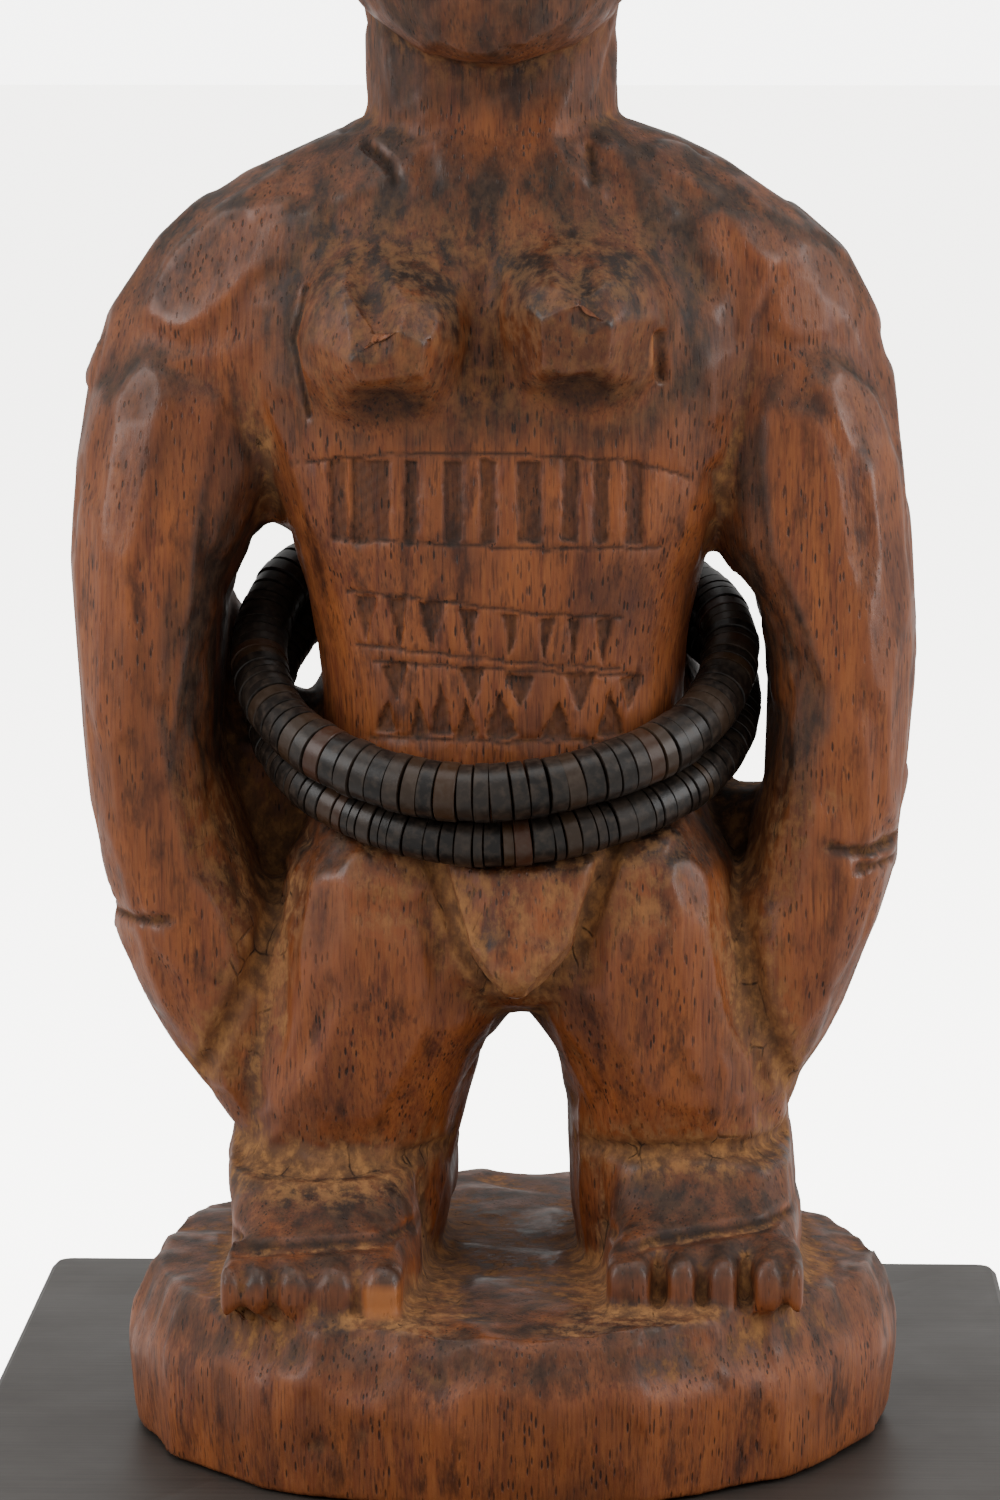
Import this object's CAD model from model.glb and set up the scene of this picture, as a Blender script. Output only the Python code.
# %% [markdown]
# # A carved hardwood doll with two strands of disc beads
#
# The object is a figure cut with a knife from one log, standing on the uncut end of that log.
# It is screwed to a black display plinth, and two strands of disc beads hang round its waist.
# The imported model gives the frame: its boxes, its bodies and the joints that the strands lift on.
# Every length below is written in millimetres and turned to metres where Blender needs it.

# %% The frame
import math
import random

import bmesh
import bpy
import numpy as np
from mathutils import Matrix, Vector, kdtree


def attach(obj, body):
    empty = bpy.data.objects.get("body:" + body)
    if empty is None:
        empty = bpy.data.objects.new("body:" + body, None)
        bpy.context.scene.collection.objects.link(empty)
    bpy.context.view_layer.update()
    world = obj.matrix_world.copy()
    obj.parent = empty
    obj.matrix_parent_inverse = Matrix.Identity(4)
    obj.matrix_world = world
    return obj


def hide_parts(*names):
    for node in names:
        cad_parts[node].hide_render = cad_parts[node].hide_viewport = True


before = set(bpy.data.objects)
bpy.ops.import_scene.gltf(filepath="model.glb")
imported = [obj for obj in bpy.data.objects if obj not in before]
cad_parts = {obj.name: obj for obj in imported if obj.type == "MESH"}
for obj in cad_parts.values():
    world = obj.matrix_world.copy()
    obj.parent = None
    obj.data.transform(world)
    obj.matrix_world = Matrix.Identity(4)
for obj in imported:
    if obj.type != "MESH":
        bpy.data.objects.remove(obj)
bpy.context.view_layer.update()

MM = 0.001
scene = bpy.context.scene

# %% [markdown]
# ## Camera
# A long lens at table height, a little to the figure's left and looking slightly down, keeps
# the plinth's sides nearly parallel and shows the top of the base.
# The camera comes first, because the strands are cords and their room is judged from it.

# %% Camera
def make_camera(place, turn, down, lens):
    camera = bpy.data.objects.new("camera", bpy.data.cameras.new("camera"))
    scene.collection.objects.link(camera)
    turn, down = math.radians(turn), math.radians(down)
    looking = Vector((
        -math.sin(turn) * math.cos(down),
        math.cos(turn) * math.cos(down),
        -math.sin(down),
    ))
    camera.location = Vector(place) * MM
    camera.rotation_euler = looking.to_track_quat("-Z", "Y").to_euler()
    camera.data.lens = lens
    return camera


scene.camera = make_camera(place=(25.9, -921.8, 290.0), turn=1.7, down=8.4, lens=124.8)
print("camera at", [round(v, 3) for v in scene.camera.location])

# %% [markdown]
# ## Small helpers
# One function turns a hex colour to the linear numbers that a shader wants.
# One adds a node, with its settings and its links, so that a tree reads like a recipe.

# %% Colour and nodes
def linear(hex_colour):
    channels = [int(hex_colour[i:i + 2], 16) / 255 for i in (1, 3, 5)]
    curve = [c / 12.92 if c <= 0.04045 else ((c + 0.055) / 1.055) ** 2.4 for c in channels]
    return (*curve, 1.0)


def add(tree, kind, inputs=None, **settings):
    """A new node. Each input is a value or another node's output socket."""
    node = tree.nodes.new(kind)
    for name, value in settings.items():
        setattr(node, name, value)
    for name, value in (inputs or {}).items():
        if isinstance(value, bpy.types.NodeSocket):
            tree.links.new(value, node.inputs[name])
        else:
            node.inputs[name].default_value = value
    return node


def new_material(name):
    material = bpy.data.materials.new(name)
    material.use_nodes = True
    tree = material.node_tree
    return material, tree, tree.nodes["Principled BSDF"]


# %% [markdown]
# ## Pieces as plain meshes
# A finished piece is a mesh whose object sits at the origin, so that it shares the frame's
# coordinates. These helpers move numbers between Blender and NumPy, and put a mesh in the scene.

# %% Mesh helpers
def points_of(mesh):
    flat = np.empty(len(mesh.vertices) * 3, np.float32)
    mesh.vertices.foreach_get("co", flat)
    return flat.reshape(-1, 3).astype(float)


def normals_of(mesh):
    flat = np.empty(len(mesh.vertices) * 3, np.float32)
    mesh.vertices.foreach_get("normal", flat)
    return flat.reshape(-1, 3).astype(float)


def edges_of(mesh):
    flat = np.empty(len(mesh.edges) * 2, np.int32)
    mesh.edges.foreach_get("vertices", flat)
    return flat.reshape(-1, 2)


def set_points(mesh, points):
    mesh.vertices.foreach_set("co", points.astype(np.float32).ravel())
    mesh.update()


def piece(name, mesh):
    made = bpy.data.objects.new(name, mesh)
    scene.collection.objects.link(made)
    return made


def applied(made, name):
    """The object's evaluated mesh as a plain mesh, in place of its own and its modifiers."""
    graph = bpy.context.evaluated_depsgraph_get()
    graph.update()
    mesh = bpy.data.meshes.new_from_object(made.evaluated_get(graph))
    made.modifiers.clear()
    if made.type == "MESH":
        made.data = mesh
        mesh.name = name
        return made
    bpy.data.objects.remove(made)
    mesh.name = name
    return piece(name, mesh)


def merged_copy(node, name):
    """A copy of a CAD node whose loose triangles are joined along their edges."""
    shape = bmesh.new()
    shape.from_mesh(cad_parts[node].data)
    bmesh.ops.remove_doubles(shape, verts=shape.verts, dist=1e-6)
    mesh = bpy.data.meshes.new(name)
    shape.to_mesh(mesh)
    shape.free()
    mesh.materials.clear()
    return piece(name, mesh)


def smoothed(points, edges, rounds, share=0.5):
    """Points drawn towards the middle of their neighbours, a number of times.

    The share is how much of the way they go, and may differ from point to point."""
    count = len(points)
    share = share[:, None] if isinstance(share, np.ndarray) else share
    degree = np.maximum(np.bincount(edges.ravel(), minlength=count), 1)[:, None]
    a, b = edges[:, 0], edges[:, 1]
    for _ in range(rounds):
        total = np.stack([
            np.bincount(a, points[b, k], count) + np.bincount(b, points[a, k], count)
            for k in range(points.shape[1])
        ], axis=1)
        points = points + share * (total / degree - points)
    return points


def ramp(value, low, high):
    """0 below low, 1 above high, and a smooth step between."""
    t = np.clip((value - low) / (high - low), 0, 1)
    return t * t * (3 - 2 * t)


# %% [markdown]
# ## The strands
# Each strand is a string threaded through thin discs ground from a dark nut shell, and tied
# behind. It lies on the top of the seat behind and hangs low in front. The path is the tilted
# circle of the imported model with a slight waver, because a stack of discs never bends evenly.
# Both strands waver together, since one lies on the other.

# %% The strands' paths
STRAND_TILT = math.radians(26.6)
STRAND_RADIUS = 42.1
KNOT_HALF = 2.1  # half the knot's length along the path, with its gaps
STRANDS = {
    "upper": dict(centre=(-2.5, -2.0, 171.5), bead=5.2, discs=98, seed=4, thick=(0.78, 1.15)),
    "lower": dict(centre=(-1.1, 1.4, 162.3), bead=4.4, discs=118, seed=9, thick=(0.5, 1.25)),
}


def waver(angle):
    """How far the strand leaves its flat circle: outward, and off its plane."""
    turn = np.mod(angle, 2 * math.pi)
    outward = 0.22 * np.sin(3 * turn + 0.8) + 0.15 * np.sin(7 * turn)
    off = 0.30 * np.sin(2 * turn + 2.4) + 0.2 * np.sin(5 * turn + 1)
    off = off + 2.6 * np.exp(-((turn - math.radians(150)) / math.radians(17)) ** 2)
    return outward, off


def on_strand(strand, angle):
    """Points in millimetres at these angles. A quarter turn is the back of the waist."""
    angle = np.asarray(angle, float)
    outward, off = waver(angle)
    radius = STRAND_RADIUS + outward
    x, y, z = radius * np.cos(angle), radius * np.sin(angle), off
    tilted = np.stack([
        x,
        y * math.cos(STRAND_TILT) - z * math.sin(STRAND_TILT),
        y * math.sin(STRAND_TILT) + z * math.cos(STRAND_TILT),
    ], axis=-1)
    return tilted + np.array(strand["centre"])


def strand_angles(first, last, count):
    """Angles from one side of the knot round to the other, at these lengths from the knot."""
    return np.linspace(
        math.pi / 2 + first / STRAND_RADIUS,
        math.pi / 2 + 2 * math.pi - last / STRAND_RADIUS,
        count,
    )


for name, strand in STRANDS.items():
    path = on_strand(strand, strand_angles(KNOT_HALF, KNOT_HALF, 97))
    strand["path"] = path
    strand["length"] = float(np.linalg.norm(np.diff(path, axis=0), axis=1).sum())
    print(name, "string is", round(strand["length"], 1), "mm long")

# %% [markdown]
# ### Strings
# A string is a curve with one open spline and a round bevel, declared as the cord it is.

# %% String curves
STRING_RADIUS = 0.8


def string_curve(name, path, radius):
    curve = bpy.data.curves.new(name, "CURVE")
    curve.dimensions = "3D"
    curve.bevel_depth = radius * MM
    curve.bevel_resolution = 2
    curve.use_fill_caps = True
    spline = curve.splines.new("POLY")
    spline.points.add(len(path) - 1)
    spline.points.foreach_set("co", np.c_[path * MM, np.ones(len(path))].ravel())
    made = bpy.data.objects.new(name, curve)
    scene.collection.objects.link(made)
    return made


for name, strand in STRANDS.items():
    strand["string"] = string_curve(f"{name}_twine", strand["path"], STRING_RADIUS)

# %% [markdown]
# ### Discs
# The discs differ: thick ones and thin ones, some a little small, some not quite square to the
# string. A mesh of bare points holds each disc's place, direction, size and tone, and Geometry
# Nodes put one small ring on each point. The ring is a flat profile with its corners cut, swept
# round a circle, so it has a bore for the string and only a few faces.

# %% Disc places
def disc_points(name, strand):
    dice = random.Random(strand["seed"])
    bare, thinner = 0.15, 0.3  # string left beside the knot; share a disc loses at the sides
    first = KNOT_HALF + bare
    room = strand["length"] - 2 * bare
    thick = [dice.uniform(*strand["thick"]) for _ in range(strand["discs"])]
    # The thicker discs lie in front and behind, and the thinner ones at the sides.
    around = np.linspace(0, 2 * math.pi, len(thick))
    thick = [t * (1 - thinner * math.sin(a) ** 2) for t, a in zip(thick, around)]
    scale = room / sum(thick)
    edges = np.cumsum([0.0] + [t * scale for t in thick])
    middles = (edges[:-1] + edges[1:]) / 2
    turn = 2 * math.pi - 2 * first / STRAND_RADIUS
    angles = math.pi / 2 + first / STRAND_RADIUS + middles / room * turn
    places = on_strand(strand, angles)
    along = on_strand(strand, angles + 0.01) - on_strand(strand, angles - 0.01)
    along /= np.linalg.norm(along, axis=1)[:, None]
    mesh = bpy.data.meshes.new(f"{name}_disc_places")
    mesh.from_pydata((places * MM).tolist(), [], [])
    outward = places - np.array(strand["centre"])
    for attribute, kind, values in (
        ("along", "FLOAT_VECTOR", [
            Vector(a) + Vector([dice.gauss(0, 0.02) for _ in range(3)]) for a in along
        ]),
        ("outward", "FLOAT_VECTOR", [Vector(o).normalized() for o in outward]),
        ("thickness", "FLOAT", [(t * scale - dice.uniform(0.06, 0.34)) * MM for t in thick]),
        ("width", "FLOAT", [strand["bead"] * MM * dice.uniform(0.935, 0.998) for _ in thick]),
        ("tone", "FLOAT", [dice.random() for _ in thick]),
    ):
        data = mesh.attributes.new(attribute, kind, "POINT").data
        field = "vector" if kind == "FLOAT_VECTOR" else "value"
        data.foreach_set(field, np.array(values, np.float32).ravel())
    print(name, "discs:", len(thick), "from", round(min(thick) * scale, 2), "to",
          round(max(thick) * scale, 2), "mm thick")
    return piece(f"{name}_discs", mesh)


# %% Disc tree
def disc_tree():
    tree = bpy.data.node_groups.new("threaded discs", "GeometryNodeTree")
    socket = tree.interface.new_socket
    socket("Places", in_out="INPUT", socket_type="NodeSocketGeometry")
    socket("Sides", in_out="INPUT", socket_type="NodeSocketInt")
    socket("Bore", in_out="INPUT", socket_type="NodeSocketFloat")
    socket("Cut corner", in_out="INPUT", socket_type="NodeSocketFloat")
    socket("Wedge", in_out="INPUT", socket_type="NodeSocketFloat")
    socket("Finish", in_out="INPUT", socket_type="NodeSocketMaterial")
    socket("Discs", in_out="OUTPUT", socket_type="NodeSocketGeometry")
    entry = add(tree, "NodeGroupInput")

    def attribute(name, kind="FLOAT"):
        return add(tree, "GeometryNodeInputNamedAttribute", {"Name": name}, data_type=kind)

    # The ring's profile: a rectangle from the bore to the rim, one unit thick.
    wall = add(tree, "ShaderNodeMath", {0: 1.0, 1: entry.outputs["Bore"]}, operation="SUBTRACT")
    centre = add(tree, "ShaderNodeMath", {0: wall.outputs[0], 1: 0.5, 2: entry.outputs["Bore"]},
                 operation="MULTIPLY_ADD")
    plate = add(tree, "GeometryNodeCurvePrimitiveQuadrilateral",
                {"Width": wall.outputs[0], "Height": 1.0})
    cut = add(tree, "GeometryNodeFilletCurve",
              {"Curve": plate.outputs[0], "Radius": entry.outputs["Cut corner"],
               "Limit Radius": True, "Count": 1}, mode="POLY")
    circle = add(tree, "GeometryNodeCurvePrimitiveCircle",
                 {"Resolution": entry.outputs["Sides"], "Radius": centre.outputs[0]})
    ring = add(tree, "GeometryNodeCurveToMesh",
               {"Curve": circle.outputs[0], "Profile Curve": cut.outputs[0]})
    # Round a bend, the discs fill the string only if they are thicker on their outer side.
    spot_on_ring = add(tree, "ShaderNodeSeparateXYZ",
                       {"Vector": add(tree, "GeometryNodeInputPosition").outputs[0]})
    fuller = add(tree, "ShaderNodeMath", {
        0: spot_on_ring.outputs["X"], 1: entry.outputs["Wedge"],
    }, operation="MULTIPLY")
    lift = add(tree, "ShaderNodeMath", {
        0: spot_on_ring.outputs["Z"], 1: fuller.outputs[0],
    }, operation="MULTIPLY")
    wedge = add(tree, "GeometryNodeSetPosition", {
        "Geometry": ring.outputs[0],
        "Offset": add(tree, "ShaderNodeCombineXYZ", {"Z": lift.outputs[0]}).outputs[0],
    })
    aim = add(tree, "FunctionNodeAxesToRotation", {
        "Primary Axis": attribute("along", "FLOAT_VECTOR").outputs[0],
        "Secondary Axis": attribute("outward", "FLOAT_VECTOR").outputs[0],
    }, primary_axis="Z", secondary_axis="X")
    size = add(tree, "ShaderNodeCombineXYZ", {
        "X": attribute("width").outputs[0],
        "Y": attribute("width").outputs[0],
        "Z": attribute("thickness").outputs[0],
    })
    put = add(tree, "GeometryNodeInstanceOnPoints", {
        "Points": entry.outputs["Places"], "Instance": wedge.outputs[0],
        "Rotation": aim.outputs[0], "Scale": size.outputs[0],
    })
    real = add(tree, "GeometryNodeRealizeInstances", {"Geometry": put.outputs[0]})
    finish = add(tree, "GeometryNodeSetMaterial",
                 {"Geometry": real.outputs[0], "Material": entry.outputs["Finish"]})
    add(tree, "NodeGroupOutput", {"Discs": finish.outputs[0]})
    return tree


def run_tree(made, tree, **values):
    """Runs a tree on an object and leaves the result as its plain mesh."""
    modifier = made.modifiers.new("tree", "NODES")
    modifier.node_group = tree
    for item in tree.interface.items_tree:
        if item.item_type == "SOCKET" and item.in_out == "INPUT" and item.name in values:
            modifier[item.identifier] = values[item.name]
    return applied(made, made.name)


# %% [markdown]
# ### Shell material
# Palm-nut shell is hard and dark. Grinding the strung discs together leaves a round, satin rim
# with fine scratches round it, and the thin faces keep a browner, rougher look. A few discs are
# worn to red-brown. Each disc's own tone comes from the attribute that its point carried.

# %% Shell material
def shell_material():
    material, tree, skin = new_material("palm_nut_shell_ground_satin")
    tone = add(tree, "ShaderNodeAttribute", attribute_name="tone").outputs["Fac"]
    place = add(tree, "ShaderNodeTexCoord").outputs["Object"]
    ramp_node = add(tree, "ShaderNodeValToRGB", {"Fac": tone})
    stops = ramp_node.color_ramp.elements
    stops[0].color = linear("#1d1917")
    stops[1].position, stops[1].color = 1.0, linear("#4a2a1c")
    for position, colour in ((0.45, "#292420"), (0.8, "#352c26"), (0.93, "#43301f")):
        stops.new(position).color = linear(colour)
    # Mottling of the shell, in spots of about a millimetre and a half.
    spots = add(tree, "ShaderNodeTexNoise",
                {"Vector": place, "Scale": 650.0, "Detail": 4.0, "Roughness": 0.6})
    mottled = add(tree, "ShaderNodeMix", {
        "Factor": add(tree, "ShaderNodeMapRange", {
            "Value": spots.outputs["Fac"], "From Min": 0.45, "From Max": 0.72,
            "To Min": 0.0, "To Max": 0.6,
        }).outputs["Result"],
        "A": ramp_node.outputs["Color"], "B": linear("#54463b"),
    }, data_type="RGBA")
    tree.links.new(mottled.outputs["Result"], skin.inputs["Base Color"])
    # Sweat and oil leave some discs glossier than others.
    shine = add(tree, "ShaderNodeMapRange",
                {"Value": spots.outputs["Fac"], "To Min": 0.2, "To Max": 0.46})
    tree.links.new(shine.outputs["Result"], skin.inputs["Roughness"])
    fine = add(tree, "ShaderNodeTexNoise",
               {"Vector": place, "Scale": 2600.0, "Detail": 3.0, "Roughness": 0.7})
    bump = add(tree, "ShaderNodeBump",
               {"Strength": 0.35, "Distance": 0.00008, "Height": fine.outputs["Fac"]})
    tree.links.new(bump.outputs["Normal"], skin.inputs["Normal"])
    skin.inputs["IOR"].default_value = 1.5
    return material


shell = shell_material()
tree = disc_tree()
for name, strand in STRANDS.items():
    discs = disc_points(name, strand)
    run_tree(discs, tree, **{
        "Sides": 26, "Bore": 0.3, "Cut corner": 0.045, "Finish": shell,
        "Wedge": strand["bead"] / STRAND_RADIUS,
    })
    discs.data.shade_smooth()
    discs.data.set_sharp_from_angle(angle=math.radians(30))
    strand["discs_piece"] = discs
    middle = np.array(strand["centre"])
    reach = np.linalg.norm(points_of(discs.data) / MM - middle, axis=1)
    print(name, "discs reach", reach.min().round(1), "to", reach.max().round(1), "mm")
    print(name, "discs:", len(discs.data.polygons), "faces")

# %% [markdown]
# ### Knots
# The string's two ends are tied in a small overhand lump between the first disc and the last.
# A trefoil curve has the over and under of a real knot, so each knot is one such curve drawn
# small, with its two cut tails pointing outward.

# %% Knots
def knot_piece(name, strand):
    turns = np.linspace(0, 2 * math.pi, 60, endpoint=False)
    trefoil = np.stack([
        0.62 * np.sin(3 * turns),
        0.36 * (np.sin(turns) + 2 * np.sin(2 * turns)),
        0.36 * (np.cos(turns) - 2 * np.cos(2 * turns)),
    ], axis=1)
    curve = bpy.data.curves.new(name, "CURVE")
    curve.dimensions = "3D"
    curve.bevel_depth = 0.52 * MM
    curve.bevel_resolution = 2
    curve.use_fill_caps = True
    middle = on_strand(strand, math.pi / 2)
    runs = [(trefoil + middle, True)]
    for side in (-1, 1):
        reach = np.linspace(0, 1, 9)[:, None]
        droop = np.array([side * 0.25, 1.0, -0.25])
        bend = np.array([side * 0.6, 0.2, -1.6])
        tail = middle + np.array([side * 0.5, 0.4, 0]) + 5.2 * reach * droop
        runs.append((tail + reach ** 2 * bend, False))
    for run, closed in runs:
        spline = curve.splines.new("POLY")
        spline.points.add(len(run) - 1)
        spline.points.foreach_set("co", np.c_[run * MM, np.ones(len(run))].ravel())
        spline.use_cyclic_u = closed
    made = bpy.data.objects.new(name, curve)
    scene.collection.objects.link(made)
    return applied(made, name)


# %% [markdown]
# ### Twine material
# The string is hand-twisted plant fibre, dull and hairy, darkened by handling. Its plies show as
# slanting stripes, one every 1.2 mm, drawn as bands across the string.

# %% Twine material
def twine_material():
    material, tree, skin = new_material("plant_fibre_twine_hand_twisted")
    place = add(tree, "ShaderNodeTexCoord").outputs["Object"]
    plies = add(tree, "ShaderNodeTexWave", {
        "Vector": place, "Scale": 260.0, "Distortion": 1.5, "Detail": 2.0,
    }, wave_type="BANDS", bands_direction="DIAGONAL")
    colour = add(tree, "ShaderNodeMix", {
        "Factor": plies.outputs["Fac"], "A": linear("#3b2a1b"), "B": linear("#7d6142"),
    }, data_type="RGBA")
    tree.links.new(colour.outputs["Result"], skin.inputs["Base Color"])
    bump = add(tree, "ShaderNodeBump",
               {"Strength": 0.8, "Distance": 0.0002, "Height": plies.outputs["Fac"]})
    tree.links.new(bump.outputs["Normal"], skin.inputs["Normal"])
    skin.inputs["Roughness"].default_value = 0.9
    return material


twine = twine_material()
for name, strand in STRANDS.items():
    strand["knot"] = knot_piece(f"{name}_tied_knot", strand)
    strand["knot"].data.materials.append(twine)
    strand["string"].data.materials.append(twine)

# %% What the strands ride on and replace
for name, strand in STRANDS.items():
    body = f"{name}_strand"
    groups = [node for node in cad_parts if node.startswith(f"{name}_beads")]
    for part, slot_name, replaced in (
        (strand["discs_piece"], "bead_shell", groups),
        (strand["knot"], "twine", [f"{name}_knot"]),
        (strand["string"], "twine", [f"{name}_string"]),
    ):
        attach(part, body)
        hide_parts(*replaced)

# %% [markdown]
# ## The carved figure
# On the real figure every surface is a knife cut: long flat chips down the arms and thighs,
# shorter ones on the chest, with soft ridges where two cuts meet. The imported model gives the
# masses. They are joined here into one skin of even small faces, which can then be cut as a
# carver cuts: first flat chips everywhere, then the marks that have a place of their own.

# %% One even skin
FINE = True
VOXEL = 1.05 if FINE else 1.7  # millimetres

figure = merged_copy("carved_figure", "carved_doll")
remesh = figure.modifiers.new("skin", "REMESH")
remesh.mode = "VOXEL"
remesh.voxel_size = VOXEL * MM
applied(figure, "carved_doll")
skin_points = points_of(figure.data) / MM
skin_edges = edges_of(figure.data)

# The feet, breasts and face keep more of their edges than the broad masses do.
crisp = np.maximum.reduce([
    ((skin_points[:, 2] < 84) & (skin_points[:, 1] < -30)) * 0.8,
    ((np.abs(skin_points[:, 2] - 231) < 20) & (skin_points[:, 1] < -36)) * 0.5,
    ((skin_points[:, 2] > 286) & (skin_points[:, 1] < -30)) * 0.75,
])
rounds = int(round(9 / VOXEL ** 2))
skin_points = smoothed(skin_points, skin_edges, rounds, share=0.5 * (1 - crisp))
set_points(figure.data, skin_points * MM)
print("skin:", len(figure.data.polygons), "faces")

# %% [markdown]
# ### Knife chips
# Points are scattered over the skin, further apart along the grain than across it. Each one is
# the middle of a chip, and the chip is the flat plane that touches the skin there, turned a few
# degrees at random. Every part of the skin then moves to the closest of the planes round it,
# so neighbouring chips meet in a ridge, as two knife cuts do.

# %% Knife chips
def chips(points, normals, across, along, seed, tilt, near=6, reach=1.7):
    """How far each point moves along its normal to lie on its chip, in millimetres."""
    dice = np.random.default_rng(seed)
    cell = np.array([across, across, along])
    ragged = 0.12  # of a cell
    key = np.floor(points / cell + dice.normal(0, ragged, points.shape)).astype(int)
    order = dice.permutation(len(points))
    _, first = np.unique(key[order], axis=0, return_index=True)
    seeds = order[first]
    stretch = np.array([1, 1, across / along])
    tree = kdtree.KDTree(len(seeds))
    for i, place in enumerate(points[seeds] * stretch):
        tree.insert(place, i)
    tree.balance()
    hits = [tree.find_n(place, near) for place in points * stretch]
    found = np.array([[hit[1] for hit in row] for row in hits])
    away = np.array([[hit[2] for hit in row] for row in hits])
    chip_normal = normals[seeds] + dice.normal(0, tilt, (len(seeds), 3))
    chip_normal /= np.linalg.norm(chip_normal, axis=1)[:, None]
    height, uneven = 0.25, 0.18  # of the chips' middles above the skin, in millimetres
    chip_point = points[seeds] + normals[seeds] * dice.normal(height, uneven, (len(seeds), 1))
    n = chip_normal[found]
    facing = (n * normals[:, None]).sum(2)
    gap = ((chip_point[found] - points[:, None]) * n).sum(2) / np.maximum(facing, 0.4)
    same_way, far, refused, blend = 0.6, 0.035, 9, 0.05
    cost = np.abs(gap) + far * away + refused * (facing < same_way)
    best = cost.min(axis=1, keepdims=True)
    weight = np.exp(-(cost - best) / blend) * (facing > same_way)
    moved = (weight * gap).sum(1) / np.maximum(weight.sum(1), 1e-9)
    moved *= 1 - ramp(best[:, 0], 0.8, 1.5)  # no chip fits well in a sharp corner
    return np.clip(moved, -reach, reach)


def box_mask(points, low, high, soft):
    """1 inside the box and 0 outside it, with a soft edge."""
    inside = np.ones(len(points))
    for k in range(3):
        inside *= ramp(points[:, k], low[k] - soft, low[k] + soft)
        inside *= 1 - ramp(points[:, k], high[k] - soft, high[k] + soft)
    return inside


def spot(points, centre, size):
    """A soft round spot: 1 at its centre and 0 at its size, which may differ by axis."""
    away = np.linalg.norm((points - np.array(centre)) / np.array(size), axis=1)
    return 1 - ramp(away, 0, 1)


normals = normals_of(figure.data)
x, y, z = skin_points.T
arm = ramp(np.abs(x + 2.5), 38, 44) * (z > 76)
low = 1 - ramp(z, 150, 160)
base = z < 62.6
long_chips = chips(skin_points, normals, across=14.5, along=46, seed=3, tilt=0.045)
short_chips = chips(skin_points, normals, across=13.5, along=19, seed=8, tilt=0.07)
wide_chips = chips(skin_points, normals, across=17, along=34, seed=5, tilt=0.04)
cut = arm * long_chips + (1 - arm) * (low * wide_chips + (1 - low) * short_chips)
calm = box_mask(skin_points, (-34, -60, 158), (32, -12, 211), 4)
face = box_mask(skin_points, (-26, -60, 286), (21, -20, 328), 4)
foot_top = box_mask(skin_points, (-52, -60, 64), (56, -26, 84), 2)
cut *= (1 - 0.85 * calm - 0.8 * face) * (1 - foot_top) * np.where(base, 0.6, 1)
# Knives don't reach into the inner corners, so the chips fade out there.
broad = smoothed(skin_points, skin_edges, 24 if FINE else 10)
inner_corner = ramp(-((skin_points - broad) * normals).sum(1), 0.3, 1.1)
cut = smoothed(((cut - cut.mean()) * (1 - 0.85 * inner_corner))[:, None], skin_edges, 2)[:, 0]
skin_points = skin_points + normals * cut[:, None]

# The breasts grow out of the chest, so the corner above each one is eased.
eased = np.zeros(len(skin_points))
for centre_x, centre_z in ((-19.5, 229.0), (12.6, 232.0)):
    away = np.hypot(x - centre_x, z - centre_z)
    ring = ramp(away, 8, 13) * (1 - ramp(away, 20, 26)) * (y < -22)
    eased = np.maximum(eased, ring * (0.25 + 0.75 * ramp(z - centre_z, -5, 6)))
# The tops of the toes run flat into the foot.
instep = np.maximum(
    box_mask(skin_points, (-54, -51.5, 71), (-11, -34, 82), 1.2),
    box_mask(skin_points, (14, -44.5, 71), (57, -28, 82), 1.2),
)
eased = np.maximum(eased, instep)
rounds = 50 if FINE else 20
skin_points = smoothed(skin_points, skin_edges, rounds, share=0.5 * eased)


# %% Deliberate flat cuts
def pare(points, centre, size, planes):
    """Takes off what stands outside each plane, near the centre, as one knife cut would."""
    near = 1 - ramp(np.linalg.norm(points - np.array(centre), axis=1), 0.85 * size, size)
    for place, normal in planes:
        normal = np.array(normal, float) / np.linalg.norm(normal)
        over = np.maximum((points - np.array(place)) @ normal, 0) * near
        points = points - over[:, None] * normal
    return points


# Each breast is pared to a blunt wedge: one broad cut in front, the others above and beside it.
skin_points = pare(skin_points, (-19.5, -38, 229), 17, [
    ((-19.5, -43.4, 228.6), (0.05, -0.95, -0.27)),
    ((-27.0, -38.5, 233.0), (-0.62, -0.70, 0.34)),
    ((-13.0, -40.0, 234.0), (0.45, -0.74, 0.50)),
    ((-20.0, -39.5, 236.0), (-0.10, -0.70, 0.70)),
    ((-30.0, -36.0, 225.0), (-0.80, -0.55, -0.25)),
    ((-9.5, -36.0, 225.0), (0.80, -0.55, -0.25)),
])
skin_points = pare(skin_points, (12.6, -38, 232), 17, [
    ((12.6, -43.2, 232.2), (0.0, -0.95, -0.27)),
    ((7.0, -41.5, 236.5), (-0.35, -0.76, 0.55)),
    ((19.5, -39.5, 237.0), (0.52, -0.70, 0.50)),
    ((2.8, -36.0, 229.0), (-0.80, -0.55, -0.20)),
    ((22.5, -36.0, 228.5), (0.80, -0.55, -0.22)),
])
skin_points = smoothed(skin_points, skin_edges, rounds=1, share=0.35)
set_points(figure.data, skin_points * MM)
print("chips move the skin by", cut.min().round(2), "to", cut.max().round(2), "mm")

# %% [markdown]
# ### Finer faces where the carving is fine
# The marks on the belly are about a millimetre wide, and the face, breasts and toes have small
# edges. Only those parts of the skin are divided further, so the piece stays light.

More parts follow.
